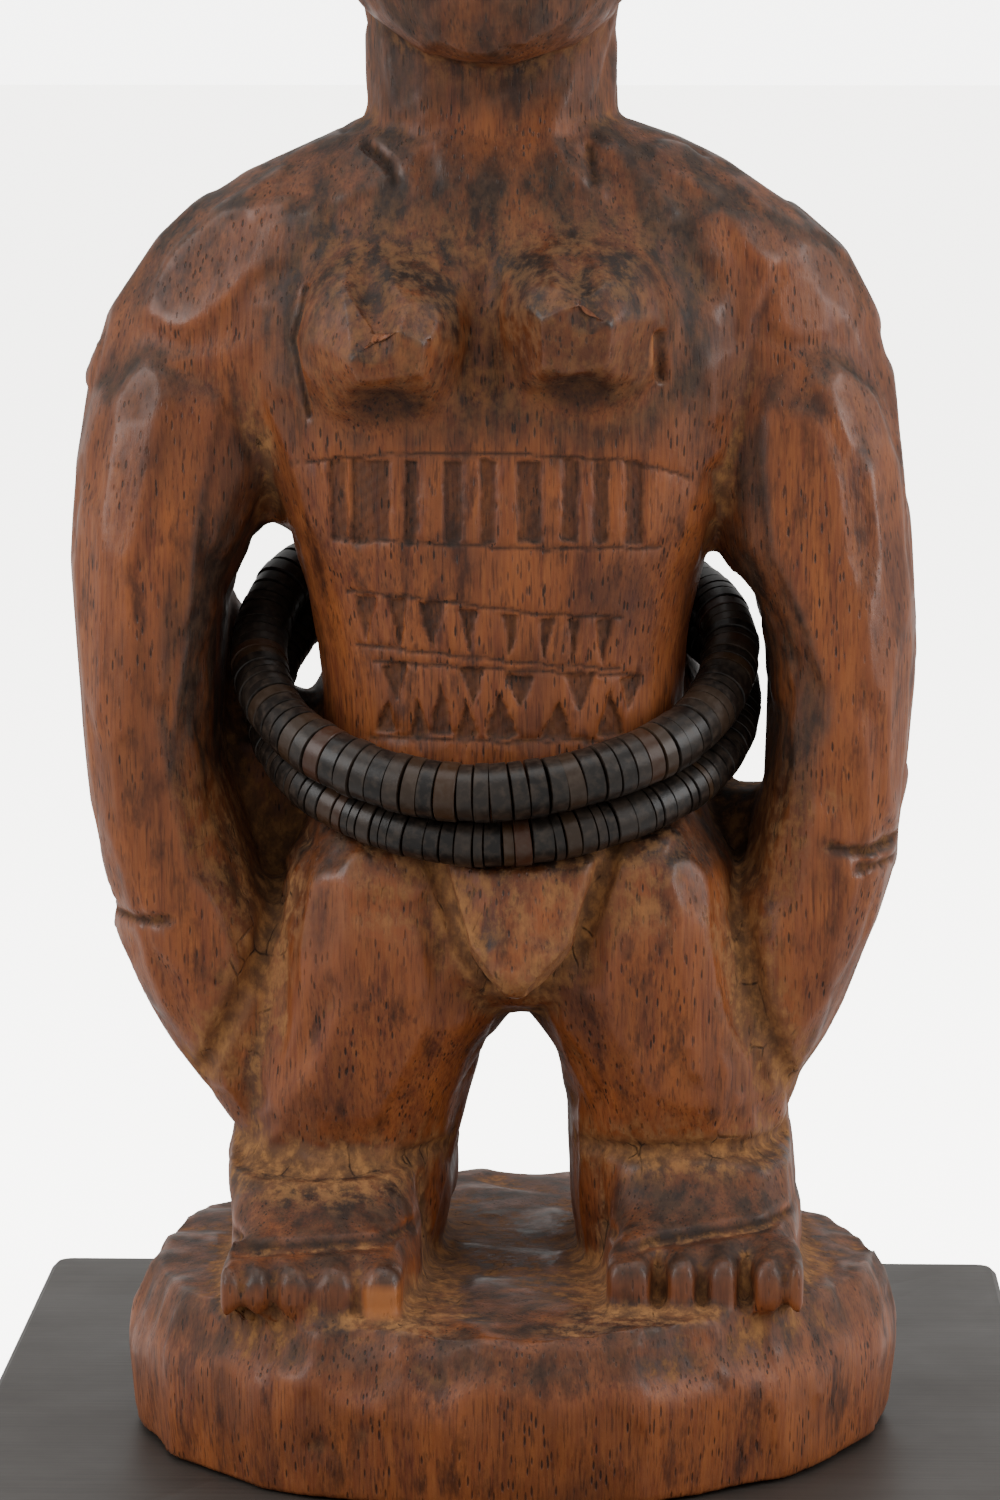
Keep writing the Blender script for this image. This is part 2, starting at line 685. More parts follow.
# %% Divide the fine parts
FINE_PARTS = [  # low corner, high corner, cuts
    ((-34, -60, 157), (31, -14, 213), 1 if FINE else 2),
    ((-40, -60, 214), (30, -24, 250), 1),
    ((-14, -60, 112), (20, -26, 142), 1),
    ((-52, -64, 61), (-12, -38, 78), 1),
    ((15, -64, 61), (56, -32, 78), 1),
    ((-30, -60, 276), (26, -24, 332), 1),
]


def divide(mesh, parts):
    shape = bmesh.new()
    shape.from_mesh(mesh)
    for low, high, cuts in parts:
        low, high = Vector(low) * MM, Vector(high) * MM
        inside = [
            f for f in shape.faces
            if all(low[k] < f.calc_center_median()[k] < high[k] for k in range(3))
        ]
        edges = list({e for f in inside for e in f.edges})
        bmesh.ops.subdivide_edges(shape, edges=edges, cuts=cuts, use_grid_fill=True)
    bmesh.ops.triangulate(shape, faces=[f for f in shape.faces if len(f.verts) > 4])
    shape.to_mesh(mesh)
    shape.free()


divide(figure.data, FINE_PARTS)
print("divided skin:", len(figure.data.polygons), "faces")

# %% [markdown]
# ### The cut marks on the belly
# Three bands run across the belly: upright bars, then a row of hanging triangles, then two rows
# that point at each other. Each mark is chopped out about a millimetre deep and its floor is
# left rough, and thin scored lines close the bands. The marks are laid out on a flat front and
# sheared a little, because they were laid out by eye, looking slightly down.

# %% Layout of the belly marks
BARS = [
    (-29.9, -26.9), (-26.3, -19.6), (-17.2, -14.8), (-10.1, -7.0), (-3.9, -1.3),
    (2.6, 6.7), (10.0, 12.9), (15.5, 18.2), (21.1, 24.2),
]
BAR_TOP, BAR_BOTTOM = 209.0, 194.9
HANGING = [  # left, right, top, tip
    (-25.9, -22.0, 185.6, 178.0), (-20.0, -16.7, 185.2, 176.4), (-15.0, -10.3, 184.3, 176.2),
    (-7.5, -4.3, 183.0, 175.7), (-0.1, 2.8, 182.2, 174.9), (6.2, 9.0, 181.6, 174.1),
    (11.2, 13.5, 181.5, 173.7), (16.0, 19.1, 181.4, 173.7),
    (-21.1, -16.8, 173.5, 167.5), (-7.6, -3.2, 172.7, 166.6), (0.0, 5.6, 172.0, 166.2),
    (10.6, 16.1, 171.8, 165.5), (20.2, 24.0, 171.3, 166.3),
]
STANDING = [  # left, right, bottom, tip
    (-22.6, -18.7, 161.9, 167.1), (-16.4, -12.9, 161.1, 167.7), (-12.9, -8.6, 161.1, 170.5),
    (-8.2, -4.3, 161.0, 167.2), (-3.2, 2.6, 160.8, 168.9), (6.3, 11.9, 160.8, 167.2),
    (16.1, 21.1, 161.2, 169.2),
]
SCORED = [
    [(-37, 208.9), (-18, 210.1), (0, 210.2), (20, 209.2), (32, 206.6)],
    [(-30, 196.0), (-12, 194.4), (8, 193.6), (27, 194.2)],
    [(-27.5, 186.6), (-9, 184.4), (6, 182.4), (20.5, 182.0)],
    [(-25.7, 177.2), (-9, 175.2), (8, 173.5), (20.2, 173.1)],
    [(-22.5, 174.3), (-9, 173.2), (8, 172.4), (24, 171.9)],
    [(-23.3, 160.9), (0, 160.1), (21, 160.7)],
]


def flat_layout(points):
    """Where each point of the front lies in the marks' flat layout, with a hand's wobble."""
    across, up = points[:, 0], points[:, 2] + 0.148 * (points[:, 1] + 33)
    wobble_x = 0.13 * np.sin(0.9 * up + 0.7 * across) + 0.06 * np.sin(2.3 * up - across)
    wobble_y = 0.14 * np.sin(0.8 * across + 0.4 * up) + 0.06 * np.sin(2.7 * across)
    return np.stack([across + wobble_x, up + wobble_y], axis=1)


def polygon_mask(flat, corners, soft):
    """1 inside a convex outline, falling to 0 over the soft distance outside its edges."""
    depth = np.full(len(flat), np.inf)
    corners = np.array(corners, float)
    area = sum(
        a[0] * b[1] - b[0] * a[1] for a, b in zip(corners, np.roll(corners, -1, axis=0))
    )
    if area < 0:
        corners = corners[::-1]
    for a, b in zip(corners, np.roll(corners, -1, axis=0)):
        edge = (b - a) / np.linalg.norm(b - a)
        inward = np.array([-edge[1], edge[0]])
        depth = np.minimum(depth, (flat - a) @ inward)
    return ramp(depth, -soft, soft)


def distance_to_line(flat, line):
    """Distance from each flat point to a line of several points."""
    best = np.full(len(flat), np.inf)
    for a, b in zip(line, line[1:]):
        a, b = np.array(a, float), np.array(b, float)
        t = np.clip(((flat - a) @ (b - a)) / ((b - a) @ (b - a)), 0, 1)
        best = np.minimum(best, np.linalg.norm(flat - a - t[:, None] * (b - a), axis=1))
    return best


def belly_marks(points, normals):
    """How deep each point lies in a chopped mark, and in a scored line, from 0 to 1."""
    flat = flat_layout(points)
    front = (normals[:, 1] < -0.25) & (points[:, 1] < -12)
    front &= (flat[:, 1] > 156) & (flat[:, 1] < 214)
    chopped, scored = np.zeros(len(points)), np.zeros(len(points))
    here = flat[front]
    inside = np.zeros(len(here))
    dice = random.Random(21)
    for left, right in BARS:
        lean = dice.uniform(-0.4, 0.4)
        corners = [
            (left, BAR_BOTTOM + dice.uniform(-0.4, 0.5)), (right, BAR_BOTTOM),
            (right + lean, BAR_TOP), (left + lean, BAR_TOP + dice.uniform(-0.4, 0.4)),
        ]
        inside = np.maximum(inside, polygon_mask(here, corners, 0.2))
    for left, right, base, tip in HANGING + STANDING:
        middle = (left + right) / 2 + dice.uniform(-0.6, 0.6)
        corners = [(left, base), (right, base + dice.uniform(-0.3, 0.3)), (middle, tip)]
        inside = np.maximum(inside, polygon_mask(here, corners, 0.2))
    lines = np.zeros(len(here))
    for line in SCORED:
        lines = np.maximum(lines, 1 - ramp(distance_to_line(here, line), 0.1, 0.45))
    chopped[front], scored[front] = inside, lines
    return chopped, scored


# %% [markdown]
# ### Other marks with a place of their own
# A groove follows a line through space: everything within its width of the line sinks along the
# skin's normal. The same helper draws the creases at the groin and ankles, the slits between
# the toes, the nicks at the elbows and the drying cracks.

# %% Grooves and ridges
def near_line(points, line, width):
    """1 on a line through space, falling to 0 at its width."""
    best = np.full(len(points), np.inf)
    for a, b in zip(line, line[1:]):
        a, b = np.array(a, float), np.array(b, float)
        t = np.clip(((points - a) @ (b - a)) / ((b - a) @ (b - a)), 0, 1)
        away = points - a - t[:, None] * (b - a)
        best = np.minimum(best, np.linalg.norm(away, axis=1))
    return 1 - ramp(best, 0.15 * width, width)


def front_line(points, normals, line, width):
    """The same on whatever faces front, seen from the front, so depth doesn't matter."""
    flat = np.array([1, 0, 1])
    shown = (points[:, 1] < 0) * ramp(-normals[:, 1], 0.0, 0.3)
    return near_line(points * flat, [np.array(p) * flat for p in line], width) * shown


CREASES = [  # points along it, width, depth: these fill with dust
    ([(-15, -36, 146), (-11, -36, 136), (-7, -40, 124), (-2, -41, 117)], 2.4, 1.3),
    ([(20, -36, 146), (17.5, -36, 136), (13, -40, 124), (6, -41, 117)], 2.4, 1.3),
    ([(-47, -32, 84), (-30, -35, 83.5), (-12, -32, 85)], 2.0, 1.1),
    ([(14, -32, 86), (32, -35, 87), (50, -30, 87)], 2.0, 1.1),
    ([(-53, -20, 100), (-44, -27, 118), (-40, -27, 132)], 2.6, 1.1),
    ([(50, -20, 98), (45, -27, 112), (41, -27, 128)], 2.6, 1.1),
]
NICKS = [  # the same, but these go black
    ([(-73, -20, 127), (-66, -24, 126.5), (-59, -25, 127)], 1.5, 0.9),
    ([(70, -20, 141), (63, -24, 139.5), (57, -25, 140.5)], 1.5, 1.0),
    ([(68, -22, 137), (62, -24, 136.5)], 1.2, 0.8),
    ([(-34.2, -31, 238), (-36.5, -30, 229), (-33.6, -31, 216)], 0.9, 0.9),
    ([(27.0, -31, 230), (27.2, -31, 223)], 1.5, 1.7),
    ([(-24, -20, 262), (-20, -22, 259), (-19, -23, 256)], 1.5, 0.8),
    ([(14.5, -22, 262), (15.5, -23, 256)], 1.4, 0.7),
    ([(-49, -50, 73.0), (-33, -50, 73.8), (-15, -50, 74.6)], 1.3, 0.8),
    ([(18, -45, 72.0), (33, -45, 74.2), (50, -45, 76.0)], 1.3, 0.8),
]
SCOOPS = [  # points along it, width, depth: the broad cuts made with the end of the blade
    ([(-24.0, -32, 246), (-22.4, -40, 237), (-21.6, -44, 231)], 5.4, 2.5),
    ([(10.5, -32, 249), (13.0, -39, 241), (14.5, -43, 235.5)], 4.6, 1.9),
    ([(-3.8, -31, 246), (-3.6, -31, 222)], 5.0, 1.5),
    ([(-8, -37, 139), (-4, -40, 128)], 4.5, 1.0),
    ([(11, -37, 139), (8, -40, 128)], 4.5, 0.9),
]
UNDERCUTS = [  # centre, size, depth: the dark cut under each breast
    ((-20.0, -37, 218.0), (7.4, 9, 5.4), 2.4),
    ((12.8, -37, 220.6), (7.2, 9, 4.6), 2.2),
]
WORM_HOLE = ((10.5, -29, 249), (1.8, 4, 1.8), 1.2)
TOE_SLITS = [  # points along it, width, depth
    *[([(x, -56, 64), (x, -54, 70.5)], 1.0, 1.1) for x in (-44.3, -39.0, -32.1, -24.6)],
    *[([(x, -49, 64), (x, -47, 71)], 1.2, 1.2) for x in (27.5, 34.9, 42.4, 49.2)],
]


def carve(points, normals):
    """The skin with every placed mark cut into it."""
    chopped, scored = belly_marks(points, normals)
    floor = np.sin(points[:, 0] * 3.1) * np.sin(points[:, 2] * 2.7 + points[:, 0])
    sink = chopped * (0.72 + 0.12 * floor) + 0.32 * scored * (1 - chopped)
    for line, width, depth in CREASES + NICKS:
        sink = np.maximum(sink, depth * front_line(points, normals, line, width))
    for line, width, depth in SCOOPS + TOE_SLITS:
        sink = np.maximum(sink, depth * near_line(points, line, width))
    for centre, size, depth in [*UNDERCUTS, WORM_HOLE]:
        sink = sink + depth * spot(points, centre, size)
    return points - normals * sink[:, None]


# %% [markdown]
# ### Base, toes and head
# The base is the end of the log: its rim is chopped round with an axe, which leaves a wavy bevel
# of scooped facets. The toes are square chips divided by narrow slits.
# The head is a plain calm mask: almond eyes, a straight nose, closed lips, and a cap of hair cut
# in grooves that run from the brow to the nape.

# %% Scoops round the base
def scoop_base(points, normals, edges):
    """Sinks broad scoops round the rim of the base, and long shallow chops down its side."""
    dice = random.Random(31)
    sink = np.zeros(len(points))
    turn = 0.0
    while turn < 2 * math.pi:
        width = dice.uniform(11, 20)
        turn += width * 0.62 / 67
        centre = (
            67.5 * math.cos(turn), 65.5 * math.sin(turn), 61 - dice.uniform(0.5, 4.5),
        )
        deep = dice.uniform(0.9, 1.9)
        cut = np.minimum(1.7 * spot(points, centre, (width, width, dice.uniform(8, 12))), 1)
        sink = np.maximum(sink, deep * cut)
        turn += width * 0.62 / 67
    for _ in range(30):
        turn = dice.uniform(0, 2 * math.pi)
        centre = (70 * math.cos(turn), 67.5 * math.sin(turn), dice.uniform(36, 56))
        size = (dice.uniform(8, 14), dice.uniform(8, 14), dice.uniform(18, 30))
        sink = np.maximum(sink, dice.uniform(0.3, 0.7) * spot(points, centre, size))
    sink = smoothed((sink * (points[:, 2] < 66))[:, None], edges, 3)[:, 0]
    return points - normals * sink[:, None]


# %% The head's hair and face
HEAD_X = -2.5


def carve_head(points, normals):
    x, y, z = points[:, 0] - HEAD_X, points[:, 1], points[:, 2]
    # Combed grooves on the hair, running back from the brow and round the sides.
    hair_edge = np.where(y < -10, 333.0, 333.0 - (y + 10) * 1.35)
    hair = ramp(z, hair_edge, hair_edge + 1.5) * ramp(z, 291, 294)
    around = np.arctan2(x, z - 296) * 37
    sink = hair * 0.85 * (0.5 + 0.5 * np.cos(2 * math.pi * around / 4.4)) ** 1.5

    def line(places, width, depth):
        """A cut on the face through these places, which are across and height."""
        path = [(HEAD_X + across, 0, height) for across, height in places]
        return depth * front_line(points, normals, path, width)

    cuts = [
        line([(-9, 293.2), (-3, 292.6), (0, 293.0), (3, 292.6), (9, 293.2)], 1.2, 1.2),
        line([(-9.5, 294), (-4, 298.0), (0, 297.0), (4, 298.0), (9.5, 294)], 1.3, 0.6),
        line([(-9, 292.5), (-3.5, 288.2), (3.5, 288.2), (9, 292.5)], 1.5, 0.6),
        line([(0, 302), (0, 298)], 1.7, 0.5),
        line([(-3.6, 303.6), (-2.4, 303.2)], 1.3, 1.0),
        line([(2.4, 303.2), (3.6, 303.6)], 1.3, 1.0),
    ]
    for side in (-1, 1):
        eye = [(6.8, 314.4), (10, 315.4), (14, 315.8), (18, 315.5), (21.4, 314.8)]
        lid = [(6.0, 314.4), (9.5, 318.4), (14, 319.8), (18.5, 318.6), (22.6, 315.0)]
        under = [(6.0, 314.0), (10, 311.6), (14, 310.9), (18.5, 311.8), (22.6, 314.6)]
        brow = [(3.6, 319.5), (7.5, 323.6), (14, 325.4), (20, 324.4), (25.5, 320.0)]
        for places, width, depth in (
            (eye, 1.1, 1.1), (lid, 1.4, 0.9), (under, 1.3, 0.75), (brow, 2.2, 0.8),
        ):
            cuts.append(line([(side * across, up) for across, up in places], width, depth))
    head = ramp(z, 280, 284)
    sink = np.maximum.reduce([sink, *cuts]) * head
    return points - normals * sink[:, None]


# %% Cut everything
fine_points = points_of(figure.data) / MM
fine_points = carve(fine_points, normals_of(figure.data))
set_points(figure.data, fine_points * MM)
fine_points = scoop_base(fine_points, normals_of(figure.data), edges_of(figure.data))
set_points(figure.data, fine_points * MM)
fine_points = carve_head(fine_points, normals_of(figure.data))
set_points(figure.data, fine_points * MM)

# %% [markdown]
# ### Room for the strands
# The strands lift in front, turning about the line where they lie behind. The skin is pressed
# back wherever it would come within a hair of a strand, at rest or lifted.

# %% Keep clear of the strands
def keep_clear(points, clear):
    low, up = STRANDS["lower"], STRANDS["upper"]
    sag = np.array([0, math.cos(STRAND_TILT), math.sin(STRAND_TILT)]) * STRAND_RADIUS
    low_hinge, up_hinge = np.array(low["centre"]) + sag, np.array(up["centre"]) + sag
    ring = strand_angles(0, 0, 241)[:-1]

    def tipped(path, hinge, degrees):
        turn = np.array(Matrix.Rotation(math.radians(-degrees), 3, "X"))
        return (path - hinge) @ turn.T + hinge

    paths = []
    for both in (0, 2, 4, 6, 8):
        paths.append((tipped(on_strand(low, ring), low_hinge, both), low["bead"]))
        for own in (0, 2, 4, 6):
            lifted = tipped(on_strand(up, ring), up_hinge, own)
            paths.append((tipped(lifted, low_hinge, both), up["bead"]))
    near = (points[:, 2] > 130) & (points[:, 2] < 215)
    here = points[near]
    moved = 0
    for path, bead in paths:
        tree = kdtree.KDTree(len(path))
        for i, place in enumerate(path):
            tree.insert(place, i)
        tree.balance()
        found = [tree.find(place) for place in here]
        away = here - np.array([hit[0] for hit in found])
        gap = np.linalg.norm(away, axis=1)
        push = np.maximum(bead + clear - gap, 0)
        here = here + away / np.maximum(gap, 1e-6)[:, None] * push[:, None]
        moved += int((push > 0).sum())
    points = points.copy()
    points[near] = here
    return points, moved


fine_points, moved = keep_clear(fine_points, clear=0.45)
set_points(figure.data, fine_points * MM)
print("points pressed back from the strands:", moved)

# %% Thin the flat parts
TRIANGLE_LIMIT = 190_000
triangles = sum(len(p.vertices) - 2 for p in figure.data.polygons)
if triangles > TRIANGLE_LIMIT:
    thin = figure.modifiers.new("thin", "DECIMATE")
    thin.ratio = TRIANGLE_LIMIT / triangles
    applied(figure, "carved_doll")
figure.data.shade_smooth()
print("carved doll:", triangles, "triangles, kept",
      sum(len(p.vertices) - 2 for p in figure.data.polygons))

# %% [markdown]
# ### Where dust lies and where hands have polished
# On the real figure ochre dust stays in every inner corner, the deep cuts are black, the ridges
# are rubbed bright, what faces up has gone grey-brown, and one toe shows fresh wood. Five numbers
# on each point of the mesh say how much of each there is, and the material reads them. Hollow and
# raised places are found by comparing the skin with a smoothed copy of itself.

# %% Wear numbers
def bulge(points, normals, edges, rounds):
    """Height above the smoothed skin in millimetres: above 0 on ridges, below 0 in hollows."""
    return ((points - smoothed(points, edges, rounds)) * normals).sum(1)


def put_number(mesh, name, values):
    data = mesh.attributes.new(name, "FLOAT", "POINT").data
    data.foreach_set("value", np.clip(values, 0, 1).astype(np.float32))


def wear_numbers(mesh):
    points, normals, edges = points_of(mesh) / MM, normals_of(mesh), edges_of(mesh)
    small = bulge(points, normals, edges, 6)
    wide = bulge(points, normals, edges, 45 if FINE else 22)
    z = points[:, 2]
    up = normals[:, 2]
    front = -normals[:, 1]
    hollow = ramp(-wide, 0.1, 0.8)
    crease = ramp(-small, 0.06, 0.25)

    # Black: floors of the cut marks, scored lines, nicks, the hollows under the breasts, toes.
    chopped, scored = belly_marks(points, normals)
    black = np.maximum(0.8 * chopped, scored)
    for line, width, _ in NICKS:
        black = np.maximum(black, front_line(points, normals, line, width * 0.8))
    for centre, size, _ in UNDERCUTS:
        deep = 2.0 * spot(points, centre, np.array(size) * 1.15)
        black = np.maximum(black, np.minimum(deep, 0.85))
    for line, width, _ in TOE_SLITS:
        black = np.maximum(black, 0.7 * near_line(points, line, width * 0.6))
    for low_x, high_x, front_y in ((-50, -24.5, -50), (17, 54, -43)):
        tips = box_mask(points, (low_x, -62, 64.5), (high_x, front_y, 73), 1.5)
        black = np.maximum(black, 0.42 * tips)
    # The deep corners behind the strands are never cleaned, and the arch only a little.
    for low, high, much in (
        ((34, -6, 124), (51, 30, 150), 0.85),
        ((-56, -2, 148), (-34, 30, 182), 0.8),
        ((-46, -10, 128), (-38, 30, 150), 0.6),
    ):
        deep = box_mask(points, low, high, 4) * ramp(front, -0.2, 0.4)
        black = np.maximum(black, much * deep)
    arch = box_mask(points, (-6, -20, 92), (11, 40, 114), 4)
    black = np.maximum(black, 0.5 * arch)

    # Ochre dust: creases below the waist, the armpits and inner arms, round the feet.
    below = 1 - ramp(z, 150, 175)
    pits = np.maximum(
        box_mask(points, (-46, -30, 196), (-28, 20, 218), 6),
        box_mask(points, (28, -30, 194), (46, 20, 214), 6),
    )
    dust = hollow * np.maximum(below, pits)
    dust = np.maximum(dust, 0.35 * hollow)
    dust = np.maximum(dust, 0.3 * box_mask(points, (-34, -60, 216), (26, -16, 250), 6))
    dust = np.maximum(dust, 0.8 * ramp(-wide, 0.0, 0.35) * (1 - ramp(z, 140, 152)))
    dust = np.maximum(dust, 0.6 * crease * below)
    ground = ramp(z, 58, 62) * (1 - ramp(z, 65, 72))
    feet = np.maximum(
        box_mask(points, (-52, -62, 60), (-10, -30, 70), 5),
        box_mask(points, (14, -55, 60), (56, -28, 70), 5),
    )
    dust = np.maximum(dust, ground * feet * ramp(up, 0.3, 0.9))
    dust = np.maximum(dust, 0.8 * ground * ramp(-wide, 0.0, 0.4))
    for line, width, _ in CREASES:
        dust = np.maximum(dust, front_line(points, normals, line, width * 3.4))
    groin = box_mask(points, (-26, -60, 126), (30, -20, 150), 5)
    dust = np.maximum(dust, 0.62 * groin)
    for line, width, _ in TOE_SLITS:
        dust = np.maximum(dust, 0.8 * near_line(points, line, width * 1.3))
    inner = np.maximum(
        box_mask(points, (-62, -34, 96), (-36, 30, 150), 6) * ramp(normals[:, 0], 0.1, 0.8),
        box_mask(points, (36, -34, 96), (60, 30, 150), 6) * ramp(-normals[:, 0], 0.1, 0.8),
    )
    dust = np.maximum(dust, 0.75 * inner)

    # Grime: the grey-brown film on what faces up, on the chest, neck, feet and inner arms.
    chest = box_mask(points, (-42, -60, 212), (38, -14, 262), 7)
    neck = ramp(z, 262, 272) * (1 - ramp(z, 296, 312)) * ramp(front, -0.2, 0.5)
    inside = np.maximum(
        box_mask(points, (-62, -34, 148), (-36, 30, 215), 6) * ramp(normals[:, 0], 0.0, 0.7),
        box_mask(points, (36, -34, 148), (60, 30, 215), 6) * ramp(-normals[:, 0], 0.0, 0.7),
    )
    grime = np.maximum.reduce([
        ramp(up, 0.05, 0.6) * ramp(z, 66, 80),
        chest * ramp(front, 0.1, 0.6) * (0.35 + 0.65 * ramp(up, -0.3, 0.05)), 0.85 * neck,
        0.9 * ramp(z, 57, 62) * (1 - ramp(z, 80, 88)) * ramp(up, -0.05, 0.4), inside,
        0.75 * ramp(z, 51, 57) * (1 - ramp(z, 60, 63)) * ramp(up, 0.02, 0.3),
        0.45 * box_mask(points, (-60, 8, 100), (60, 70, 300), 12), 0.6 * hollow,
    ])
    belly = box_mask(points, (-38, -60, 156), (34, -12, 213), 3)
    ridge = ramp(small, 0.05, 0.22) * (1 - 0.5 * (z < 62)) * (1 - 0.9 * belly)
    fresh = box_mask(points, (-23.2, -58, 63.6), (-17, -50, 68.6), 0.8)
    fresh = np.maximum(fresh, near_line(points, [(25.6, -32, 230), (25.7, -32, 223.5)], 0.9))
    numbers = dict(black=black, dust=dust, grime=grime, ridge=ridge, fresh=fresh)
    for name, values in numbers.items():
        put_number(mesh, name, values)
    print("mean wear:", {n: round(float(np.clip(v, 0, 1).mean()), 3) for n, v in numbers.items()})


wear_numbers(figure.data)

# %% [markdown]
# ### Carved hardwood, oiled and handled
# The wood is a reddish tropical hardwood with open pores. The pores show as dark dashes, 0.3 mm
# wide and 2 to 4 mm long, that all run up the log; on end grain the same pores are dots. So the
# pores are stretched cells in space, not a picture laid on the skin. Streaks of darker wood run
# the same way. Handling has left a satin skin, so the roughness is low on the wood, lower on
# ridges and high in dust.

# %% Hardwood material
def hardwood_material():
    material, tree, skin = new_material("carved_hardwood_oiled_and_handled")
    place = add(tree, "ShaderNodeTexCoord").outputs["Object"]

    def worn(name):
        return add(tree, "ShaderNodeAttribute", attribute_name=name).outputs["Fac"]

    def stretched(x, y, z):
        """Object coordinates counted in cells of these millimetres."""
        return add(tree, "ShaderNodeMapping",
                   {"Vector": place, "Scale": (1000 / x, 1000 / y, 1000 / z)}).outputs["Vector"]

    def noise(vector, detail=3.0, roughness=0.55):
        return add(tree, "ShaderNodeTexNoise", {
            "Vector": vector, "Scale": 1.0, "Detail": detail, "Roughness": roughness,
        }).outputs["Fac"]

    def span(value, low, high, to_low=0.0, to_high=1.0):
        return add(tree, "ShaderNodeMapRange", {
            "Value": value, "From Min": low, "From Max": high,
            "To Min": to_low, "To Max": to_high,
        }).outputs["Result"]

    def math_node(operation, a, b):
        return add(tree, "ShaderNodeMath", {0: a, 1: b}, operation=operation).outputs[0]

    def mix(factor, a, b, blend="MIX"):
        return add(tree, "ShaderNodeMix", {"Factor": factor, "A": a, "B": b},
                   data_type="RGBA", blend_type=blend).outputs["Result"]

    streaks = noise(stretched(4, 4, 60), 4.0, 0.6)
    fibres = noise(stretched(0.55, 0.55, 12), 2.0, 0.5)
    clouds = noise(stretched(22, 22, 34), 4.0, 0.6)
    flecks = noise(stretched(2.6, 2.6, 3.6), 5.0, 0.68)
    smears = noise(stretched(6, 6, 16), 5.0, 0.66)
    wood = mix(span(streaks, 0.34, 0.66), linear("#a35a2c"), linear("#743a24"))
    wood = mix(span(fibres, 0.35, 0.7, 0.0, 0.5), wood, linear("#b46e3c"))
    wood = mix(span(clouds, 0.46, 0.7, 0.0, 0.7), wood, linear("#4e2a1b"))
    threads = noise(stretched(0.42, 0.42, 7), 2.0, 0.6)
    wood = mix(span(threads, 0.54, 0.68, 0.0, 0.6), wood, linear("#3c1c10"))

    # Pores: one stretched cell each, dark where the skin cuts near its middle.
    cells = add(tree, "ShaderNodeTexVoronoi",
                {"Vector": stretched(0.9, 0.9, 4.6), "Scale": 1.0, "Randomness": 1.0})
    pore = span(cells.outputs["Distance"], 0.16, 0.26, 1.0, 0.0)
    some = span(noise(stretched(7, 7, 20), 2.0), 0.36, 0.52)
    pore = math_node("MULTIPLY", pore, some)

    # Dark handled stain in long smears, under a broken film of grime.
    stain = span(smears, 0.53, 0.66, 0.0, 0.75)
    wood = mix(stain, wood, linear("#38190e"))
    wood = mix(math_node("MULTIPLY", pore, 0.85), wood, linear("#1c0f09"))
    wood = mix(math_node("MULTIPLY", worn("ridge"), 0.4), wood, linear("#a3582a"))
    film = math_node("MULTIPLY", worn("grime"), span(smears, 0.36, 0.56, 0.45, 1.0))
    muddy = mix(span(flecks, 0.42, 0.66), linear("#241b15"), linear("#4f3a2a"))
    wood = mix(math_node("MULTIPLY", film, 0.92), wood, muddy)

    # Ochre dust breaks up over everything, and cracks as it dries.
    broken = span(flecks, 0.43, 0.56)
    full = span(worn("dust"), 0.6, 1.0, 0.0, 0.85)
    dust = math_node("MAXIMUM", math_node("MULTIPLY", worn("dust"), broken), full)
    ochre = mix(span(flecks, 0.4, 0.68), linear("#735034"), linear("#b98450"))
    wood = mix(math_node("MULTIPLY", dust, 0.85), wood, ochre)
    crazing = add(tree, "ShaderNodeTexVoronoi", {
        "Vector": stretched(6, 6, 11), "Scale": 1.0, "Randomness": 1.0,
    }, feature="DISTANCE_TO_EDGE")
    crack = span(crazing.outputs["Distance"], 0.006, 0.03, 1.0, 0.0)
    crack = math_node("MULTIPLY", crack, span(smears, 0.5, 0.6))
    crack = math_node("MULTIPLY", crack, span(dust, 0.35, 0.8))
    wood = mix(math_node("MULTIPLY", crack, 0.8), wood, linear("#150c07"))
    black = math_node("MULTIPLY", worn("black"), span(flecks, 0.3, 0.6, 1.0, 0.65))
    wood = mix(math_node("MULTIPLY", black, 0.9), wood, linear("#2a1e16"))
    wood = mix(math_node("MULTIPLY", worn("fresh"), 0.9), wood, linear("#b8713a"))
    tree.links.new(wood, skin.inputs["Base Color"])

    rough = span(flecks, 0.3, 0.7, 0.42, 0.56)
    rough = math_node("ADD", rough, math_node("MULTIPLY", dust, 0.35))
    rough = math_node("ADD", rough, math_node("MULTIPLY", worn("black"), 0.25))
    rough = math_node("ADD", rough, math_node("MULTIPLY", film, 0.14))
    rough = math_node("SUBTRACT", rough, math_node("MULTIPLY", worn("ridge"), 0.14))
    tree.links.new(rough, skin.inputs["Roughness"])

    grain = math_node("MULTIPLY", fibres, 0.35)
    height = math_node("SUBTRACT", grain, math_node("MULTIPLY", pore, 0.8))
    height = math_node("ADD", height, math_node("MULTIPLY", flecks, 0.8))
    height = math_node("SUBTRACT", height, math_node("MULTIPLY", crack, 1.2))
    bump = add(tree, "ShaderNodeBump", {"Strength": 0.6, "Distance": 0.00025, "Height": height})
    tree.links.new(bump.outputs["Normal"], skin.inputs["Normal"])
    # Ridges are rubbed to a low shine, which dust covers.
    shine = math_node("MULTIPLY", worn("ridge"), math_node("SUBTRACT", 1.0, dust))
    tree.links.new(math_node("MULTIPLY", shine, 0.3), skin.inputs["Coat Weight"])
    skin.inputs["Coat Roughness"].default_value = 0.2
    skin.inputs["IOR"].default_value = 1.5
    return material


figure.data.materials.clear()
figure.data.materials.append(hardwood_material())
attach(figure, "figure_on_plinth")
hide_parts("carved_figure")

